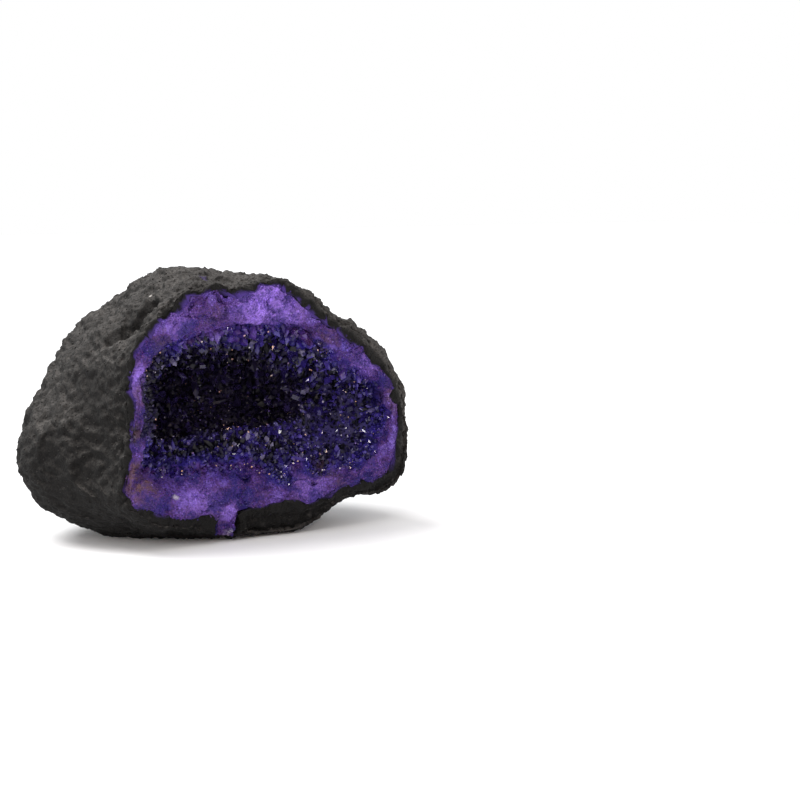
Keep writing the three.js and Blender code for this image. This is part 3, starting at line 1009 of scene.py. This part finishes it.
def rindMaterial(colours):
    material, n, shader, place = newMaterial("darkRind")
    height, mottle = grainOf(n, place, 900, 2600)
    speckle = n.math("ADD", n.product(mottle, 0.75), n.product(n.mask("tint"), 0.25))
    base = n.ramp(speckle, colours["stone"])
    fine = n.ramp(n.noise(place, 3000, 2, 0.7), [(0.32, 0.2), (0.5, 0.85), (0.7, 1.0)])
    # stone dust and painted top light: what faces up is painted lighter
    up = n.add("ShaderNodeSeparateXYZ")
    n.link(n.add("ShaderNodeNewGeometry").outputs["Normal"], up.inputs[0])
    top = n.ramp(n.math("MULTIPLY_ADD", up.outputs["Z"], 0.5, 0.5), [(0.5, 0.0), (0.78, 0.36), (0.96, 1.0)])
    patchy = n.ramp(n.noise(place, 1300, 4, 0.65), [(0.35, 0.5), (0.6, 1.0)])
    wide = n.ramp(n.noise(place, 150, 2), [(0.38, 0.6), (0.6, 1.0)])
    dustAndPaintedLight = n.product(top, n.product(patchy, wide))
    dustAndPaintedLight = n.math("MAXIMUM", dustAndPaintedLight, n.product(n.mask("rimDustAndLight"), n.product(patchy, 0.75)))
    colour = n.mix("MIX", n.product(dustAndPaintedLight, 0.8), base, colours["dust"])
    pits = n.ramp(n.voronoi(place, 520), [(0.12, 0.12), (0.24, 1.0)])
    pitted = n.ramp(n.noise(place, 190, 2), [(0.42, 0.0), (0.58, 0.9)])
    colour = n.mix("MULTIPLY", 1.0, colour, fine)
    colour = n.mix("MULTIPLY", pitted, colour, pits)
    # painted shade on the broken edge beside the quartz
    colour = n.mix("MIX", n.product(n.mask("broken"), 0.9), colour, colours["broken"])
    colour = n.mix("MIX", n.product(n.mask("dyed"), 0.85), colour, colours["dye"])
    colour = n.mix("MIX", n.mask("fleck"), colour, colours["fleck"])
    n.link(colour, shader.inputs["Base Color"])
    setInputs(shader, {"Roughness": 0.92, "Specular IOR Level": 0.25})
    bumpOn(n, shader, height, 0.9, 0.25)
    return material


quartzColours = {
    # painted shade: near-black colours for the back of the hollow
    "back": [(0.25, (0.004, 0.003, 0.008)), (0.6, (0.016, 0.011, 0.042)), (0.85, (0.055, 0.038, 0.17))],
    "middle": [
        (0.3, (0.002, 0.0015, 0.006)),
        (0.5, (0.013, 0.008, 0.058)),
        (0.7, (0.038, 0.024, 0.20)),
        (0.86, (0.12, 0.08, 0.45)),
    ],
    "blue": [(0.2, (0.008, 0.005, 0.07)), (0.55, (0.026, 0.016, 0.20)), (0.9, (0.10, 0.07, 0.42))],
    "outer": [
        (0.36, (0.018, 0.009, 0.13)),
        (0.44, (0.045, 0.020, 0.18)),
        (0.51, (0.078, 0.028, 0.15)),
        (0.58, (0.10, 0.046, 0.28)),
        (0.7, (0.20, 0.12, 0.50)),
    ],
    "flake": (0.20, 0.18, 0.27),
    "bright": (0.38, 0.215, 0.84),
    # painted shade colour of the clefts
    "cleft": (0.42, 0.36, 0.72),
    "stain": (0.10, 0.05, 0.045),
    "undyed": (0.62, 0.58, 0.68),
    # painted glints: the pale colours of the chips
    "chips": [
        (0.0, (0.2, 0.17, 0.3)),
        (0.35, (0.5, 0.45, 0.55)),
        (0.5, (0.85, 0.8, 0.82)),
        (0.6, (0.80, 0.45, 0.28)),
        (0.78, (0.5, 0.3, 0.28)),
        (1.0, (0.2, 0.13, 0.6)),
    ],
}

quartzIor = 1.54


def quartzColour(n, place, colours):
    # near black at the back as painted shade, navy at the mouth, lavender in the broken face
    tint, pale, deep = n.mask("tint"), n.mask("pale"), n.mask("deep")
    cloud = n.noise(place, 240, 4)
    shade = n.math("ADD", n.product(tint, 0.6), n.product(cloud, 0.4))
    middle = n.ramp(shade, colours["middle"])
    flakes = n.ramp(tint, [(0.955, 0.0), (0.965, 1.0)])
    middle = n.mix("MIX", n.product(flakes, 0.8), middle, colours["flake"])
    # painted shade: darker towards the back of the hollow by the deep mask
    inner = n.mix("MIX", deep, middle, n.ramp(shade, colours["back"]))
    blue = n.ramp(shade, colours["blue"])

    wash = n.math("ADD", n.product(tint, 0.16), n.product(cloud, 0.84))
    outer = n.ramp(wash, colours["outer"])
    bright = n.product(n.mask("bright"), n.ramp(wash, [(0.40, 0.2), (0.56, 0.95)]))
    outer = n.mix("MIX", bright, outer, colours["bright"])
    sugary = n.ramp(n.noise(place, 2300, 2, 0.7), [(0.33, 0.45), (0.52, 0.9), (0.7, 1.0)])
    outer = n.mix("MULTIPLY", 1.0, outer, sugary)
    # painted shade in the clefts between the lobes
    outer = n.mix("MULTIPLY", n.product(n.mask("cleftShade"), 0.7), outer, colours["cleft"])

    toBlue = n.product(n.ramp(pale, [(0.05, 0.0), (0.5, 1.0)]), n.ramp(deep, [(0.3, 1.0), (0.9, 0.15)]))
    colour = n.mix("MIX", toBlue, inner, blue)
    colour = n.mix("MIX", n.ramp(pale, [(0.55, 0.0), (0.9, 1.0)]), colour, outer)
    bluer = n.product(n.mask("bluer"), n.ramp(n.noise(place, 480, 3), [(0.4, 0.3), (0.6, 1.0)]))
    colour = n.mix("MIX", n.product(bluer, 0.85), colour, blue)
    patchy = n.ramp(n.noise(place, 620, 3), [(0.4, 0.1), (0.6, 1.0)])
    stained = n.product(n.mask("stain"), n.product(patchy, 0.85))
    colour = n.mix("MIX", stained, colour, colours["stain"])
    return n.mix("MIX", n.mask("chip"), colour, colours["undyed"])


def crystalMaterial(name, roughness, specular):
    material, n, shader, place = newMaterial(name)
    n.link(quartzColour(n, place, quartzColours), shader.inputs["Base Color"])
    setInputs(shader, {"Roughness": roughness, "IOR": quartzIor})
    setInputs(shader, {"Specular IOR Level": specular, "Transmission Weight": 0.4})
    return material


# pale colours of the chips on the crystal tips, painted glints
def glintChipMaterial():
    material, n, shader, _ = newMaterial("glintChipQuartz")
    n.link(n.ramp(n.mask("tint"), quartzColours["chips"]), shader.inputs["Base Color"])
    setInputs(shader, {"Roughness": 0.25, "IOR": quartzIor})
    return material


def bandMaterial():
    material, n, shader, place = newMaterial("sugaryQuartz")
    height = grainOf(n, place, 700, 2400)[0]
    n.link(quartzColour(n, place, quartzColours), shader.inputs["Base Color"])
    n.link(n.ramp(n.mask("tint"), [(0.6, 0.55), (0.75, 0.12)]), shader.inputs["Roughness"])
    setInputs(shader, {"IOR": quartzIor, "Specular IOR Level": 0.22})
    bumpOn(n, shader, height, 0.6, 0.15)
    return material


def give(piece, *materials):
    piece.data.materials.clear()
    for material in materials:
        piece.data.materials.append(material)


etchedShare = (0.4, 0.8)   # of the crystals at the mouth and at the back


def giveCrystals(piece, clean, etched):
    mesh = piece.data
    give(piece, clean, etched)
    mouthShare, backShare = etchedShare
    dull = maskOf(mesh, "tint") < mouthShare + (backShare - mouthShare) * maskOf(mesh, "deep")
    first = np.array([face.vertices[0] for face in mesh.polygons])
    mesh.polygons.foreach_set("material_index", dull[first].astype(np.int32))
    mesh.update()


# the stone

rind, rindOuter = makeRind(rindLook)
grains = makeGrains(rind, rindOuter, grainLook)
crust, band, lining = makeCrust(quartzLook)
draws = np.random.default_rng(hollowLook["seed"])
small, tips = plantCrystals("hollowCrystals", crust, lining, hollowLook, draws, swelling=swellingAt)
large, _ = plantCrystals("largeCrystals", crust, lining, bladeLook, draws, hasBlades)
draws = np.random.default_rng(mouthLook["seed"])
mouth, mouthTips = plantCrystals("mouthCrystals", crust, band, mouthLook, draws, isMouth)
draws = np.random.default_rng(sugarLook["seed"])
sugar, _ = plantCrystals("bandSugar", crust, band, sugarLook, draws, isBand)
# pale chips whose colours are painted glints
flakes = makeGlintChips(np.concatenate((tips, mouthTips)), glintChipLook)

darkRind = rindMaterial(rindColours)
bandQuartz = bandMaterial()
cleanQuartz = crystalMaterial("cleanCrystal", roughness=0.06, specular=0.2)
etchedQuartz = crystalMaterial("etchedCrystal", roughness=0.4, specular=0.04)
for piece in (rind, grains):
    give(piece, darkRind)
for piece in (crust, sugar):
    give(piece, bandQuartz)
for piece in (small, large, mouth):
    giveCrystals(piece, cleanQuartz, etchedQuartz)
give(flakes, glintChipMaterial())

for piece in (rind, grains, crust, small, large, mouth, sugar, flakes):
    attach(piece, "root")
for piece in (rind, grains):
    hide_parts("rind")
for piece in (crust, small, large, mouth, sugar, flakes):
    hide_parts("crystal_crust")
print("geode: stone made")


# floor and light

studio = {
    "floor": 3.0,            # m across
    "floorWhite": [(0.0, 0.93), (1.0, 0.96)],
    "seenWhite": (1, 1, 1, 1),             # of the backdrop
    "worldWhite": (0.97, 0.98, 1.0, 1),    # of the light from all sides
    "worldStrength": 0.75,
    "sun": (2.9, 38.0),      # strength and angle
    "sunFrom": (-0.42, 0.42, 1.0),
    "side": ((-0.95, 0.0, 0.16), 0.6, 3.2),   # place, size in m and power of the low lamp on the left
    "sideAim": (0, 0, 0.02),
    "glints": [   # place, size in m, power, colour: small lamps that the crystals flash back
        ((-0.45, -0.50, 0.35), 0.07, 0.30, (1.0, 0.98, 0.96)),
        ((-0.20, -0.62, 0.22), 0.06, 0.22, (1.0, 0.62, 0.42)),
        ((0.05, -0.60, 0.42), 0.07, 0.26, (1.0, 0.82, 0.72)),
        ((-0.60, -0.25, 0.20), 0.06, 0.24, (1.0, 0.98, 1.0)),
        ((0.30, -0.55, 0.30), 0.06, 0.22, (0.92, 0.9, 1.0)),
        ((-0.30, -0.45, 0.60), 0.07, 0.30, (1.0, 0.9, 0.84)),
        ((-0.55, -0.35, 0.50), 0.06, 0.24, (1.0, 0.97, 0.95)),
        ((-0.38, -0.62, 0.12), 0.05, 0.16, (1.0, 0.72, 0.55)),
        ((0.00, -0.40, 0.66), 0.06, 0.26, (1.0, 0.97, 0.95)),
        ((-0.15, -0.70, 0.38), 0.05, 0.18, (1.0, 0.95, 0.97)),
        ((-0.70, -0.40, 0.30), 0.05, 0.20, (1.0, 0.8, 0.66)),
        ((-0.42, -0.20, 0.62), 0.06, 0.26, (0.96, 0.95, 1.0)),
    ],
    "glintAim": (0, -0.015, 0.025),
}


def addLamp(place, size, power, target):
    bpy.ops.object.light_add(type="AREA", location=place)
    lamp = bpy.context.active_object
    lamp.data.size = size
    lamp.data.energy = power
    lamp.rotation_euler = (Vector(target) - lamp.location).to_track_quat("-Z", "Y").to_euler()
    return lamp


def addStudio(s):
    bpy.ops.object.select_all(action="DESELECT")
    bpy.ops.mesh.primitive_plane_add(size=s["floor"], location=(0, 0, 0))
    floor = bpy.context.active_object
    floor.name = "paleFloor"
    material, n, shader, place = newMaterial("whiteFloor")
    n.link(n.ramp(n.noise(place, 40, 2), s["floorWhite"]), shader.inputs["Base Color"])
    setInputs(shader, {"Roughness": 0.7})
    give(floor, material)

    world = bpy.data.worlds.new("studioWhite")
    bpy.context.scene.world = world
    world.use_nodes = True
    world.node_tree.nodes.clear()
    n = Nodes(world.node_tree)
    seen = n.add("ShaderNodeBackground")
    setInputs(seen, {"Color": s["seenWhite"], "Strength": 1.0})
    glow = n.add("ShaderNodeBackground")
    setInputs(glow, {"Color": s["worldWhite"], "Strength": s["worldStrength"]})
    pick = n.add("ShaderNodeMixShader")
    n.link(n.add("ShaderNodeLightPath").outputs["Is Camera Ray"], pick.inputs[0])
    n.link(glow.outputs[0], pick.inputs[1])
    n.link(seen.outputs[0], pick.inputs[2])
    end = n.add("ShaderNodeOutputWorld")
    n.link(pick.outputs[0], end.inputs[0])

    bpy.ops.object.light_add(type="SUN", location=(-0.2, -0.3, 1.0))
    sun = bpy.context.active_object
    sun.data.energy = s["sun"][0]
    sun.data.angle = math.radians(s["sun"][1])
    sun.rotation_euler = (-Vector(s["sunFrom"])).to_track_quat("-Z", "Y").to_euler()

    addLamp(*s["side"], s["sideAim"])
    for place, size, power, colour in s["glints"]:
        lamp = addLamp(place, size, power, s["glintAim"])
        lamp.data.shape = "DISK"
        lamp.data.color = colour
    bpy.context.scene.view_settings.view_transform = "Standard"


addStudio(studio)
print("geode: studio made")
